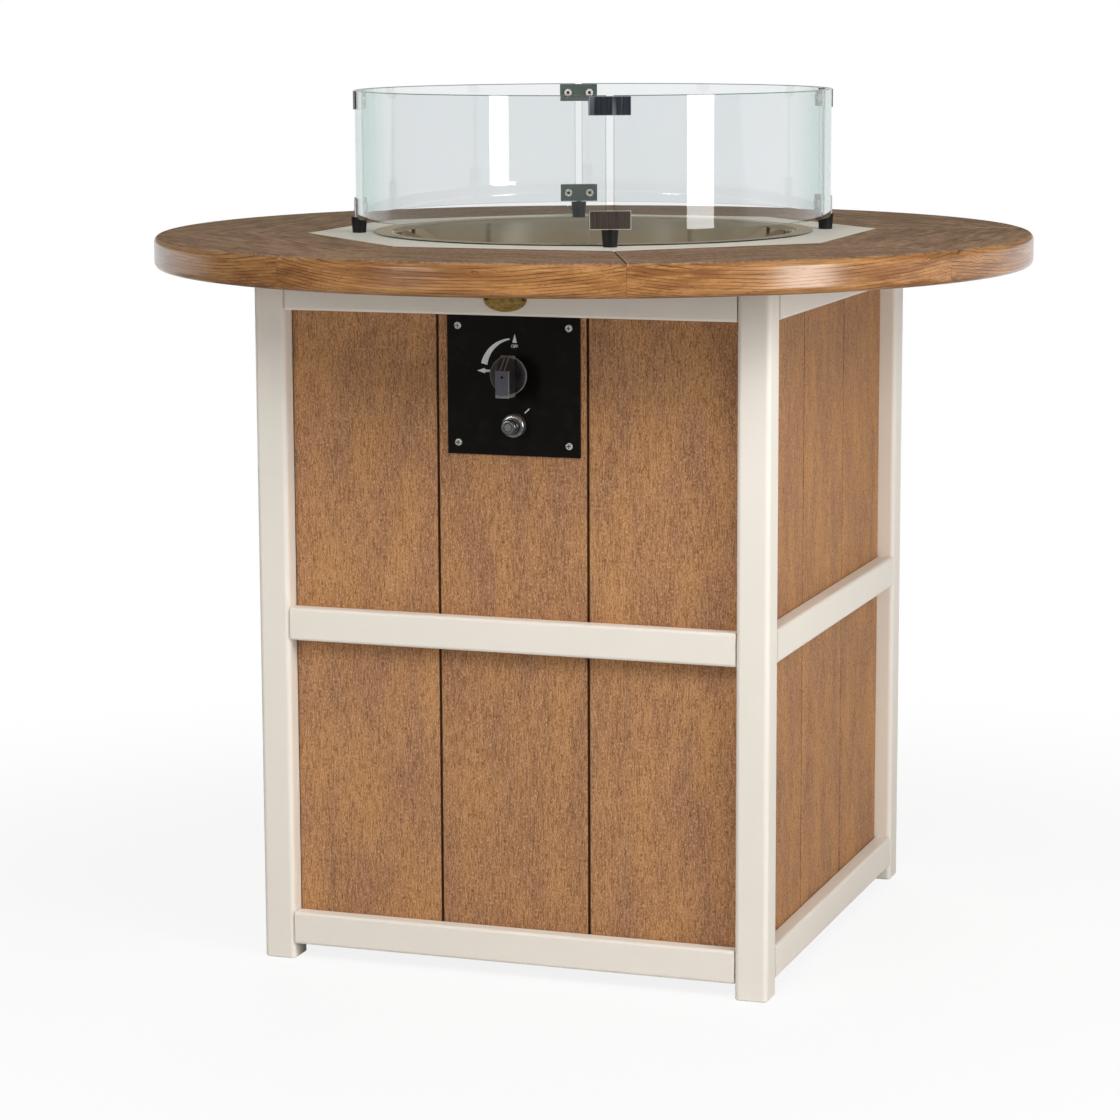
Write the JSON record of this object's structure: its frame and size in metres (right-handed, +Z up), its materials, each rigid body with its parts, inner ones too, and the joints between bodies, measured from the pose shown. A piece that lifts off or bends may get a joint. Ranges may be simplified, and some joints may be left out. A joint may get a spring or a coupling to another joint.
{
  "type": "fire pit table",
  "caption": "Round counter-height gas fire pit table: square panelled cabinet with a tank door, drop-in burner pan, control plate and a lift-off curved glass wind guard.",
  "frame": {"origin": "on the floor, under the middle of the round top", "axes": "+Z up, -Y towards the control plate, +Y towards the tank door, +X to the right of someone facing the control plate"},
  "size_m": [1.118, 1.118, 1.08],
  "materials": {
    "top_board": "satin, brown wood-grain poly lumber",
    "frame_board": "satin, beige poly lumber",
    "plank_board": "matte, brown brushed poly lumber",
    "inner_board": "matte",
    "polished_steel": "polished",
    "clamp_steel": "brushed",
    "screw_steel": "plain",
    "hinge_steel": "satin",
    "catch_plastic": "matte",
    "valve_alloy": "cast",
    "gas_brass": "machined",
    "line_steel": "satin",
    "plate_black": "satin",
    "knob_black": "satin",
    "igniter_chrome": "bright",
    "lead_rubber": "matte",
    "electrode_ceramic": "glazed",
    "plate_brass": "satin",
    "guard_glass": "clear",
    "pad_rubber": "matte"
  },
  "bodies": {
    "table": {"air_mixer": "gas_brass", "bottom_shelf": "inner_board", "burner_pan": "polished_steel", "burner_ring": "polished_steel", "control_plate": "plate_black", "control_plate_screws": "screw_steel", "door_catch": "catch_plastic", "front_planks": "plank_board", "front_rails": "frame_board", "gas_inlet_fitting": "gas_brass", "gas_line": "line_steel", "gas_valve": "valve_alloy", "hinge_frame_leaves": "hinge_steel", "hinge_pins": "screw_steel", "igniter_bezel": "igniter_chrome", "igniter_module": "knob_black", "ignition_lead": "lead_rubber", "inlay_segments": "frame_board", "left_planks": "plank_board", "left_rails": "frame_board", "leg_front_left": "frame_board", "leg_front_right": "frame_board", "leg_rear_left": "frame_board", "leg_rear_right": "frame_board", "mitre_plates": "screw_steel", "nameplate": "plate_brass", "nameplate_pins": "screw_steel", "right_planks": "plank_board", "right_rails": "frame_board", "shelf_cleats": "inner_board", "spark_electrode": "electrode_ceramic", "top_cleats": "inner_board", "top_segment_1": "top_board", "top_segment_2": "top_board", "top_segment_3": "top_board", "top_segment_4": "top_board", "top_segment_5": "top_board", "top_segment_6": "top_board", "top_segment_7": "top_board", "top_segment_8": "top_board"},
    "tank_door": {"door_rails": "frame_board", "door_planks": "plank_board", "door_cleats": "inner_board", "hinge_door_leaves": "hinge_steel", "door_pull": "hinge_steel", "catch_strike": "hinge_steel"},
    "wind_guard": {"glass_pane_1": "guard_glass", "glass_pane_2": "guard_glass", "glass_pane_3": "guard_glass", "glass_pane_4": "guard_glass", "clamp_outer_plates": "clamp_steel", "clamp_inner_plates": "clamp_steel", "clamp_pads": "pad_rubber", "clamp_screws": "screw_steel", "guard_feet": "pad_rubber"},
    "valve_collar": {"valve_collar": "screw_steel"},
    "control_knob": {"valve_stem": "screw_steel", "control_knob": "knob_black"},
    "igniter_button": {"igniter_button": "igniter_chrome"}
  },
  "joints": [
    {"name": "door_hinge", "type": "hinge", "parent": "table", "child": "tank_door", "pos_m": [-0.28675, 0.3329, 0.429], "axis": [0, 0, 1], "range_deg": [0, 110]},
    {"name": "guard_lift", "type": "slide", "parent": "table", "child": "wind_guard", "axis": [0, 0, 1], "range_m": [0, 0.25]},
    {"name": "knob_push", "type": "slide", "parent": "table", "child": "valve_collar", "axis": [0, 1, 0], "range_m": [0, 0.003], "stiffness_N_per_m": 900, "springref_m": -0.004},
    {"name": "knob_turn", "type": "hinge", "parent": "valve_collar", "child": "control_knob", "pos_m": [0.004, -0.319, 0.748], "axis": [0, -1, 0], "range_deg": [0, 90]},
    {"name": "igniter_press", "type": "slide", "parent": "table", "child": "igniter_button", "axis": [0, 1, 0], "range_m": [0, 0.005], "stiffness_N_per_m": 600, "springref_m": -0.004}
  ]
}
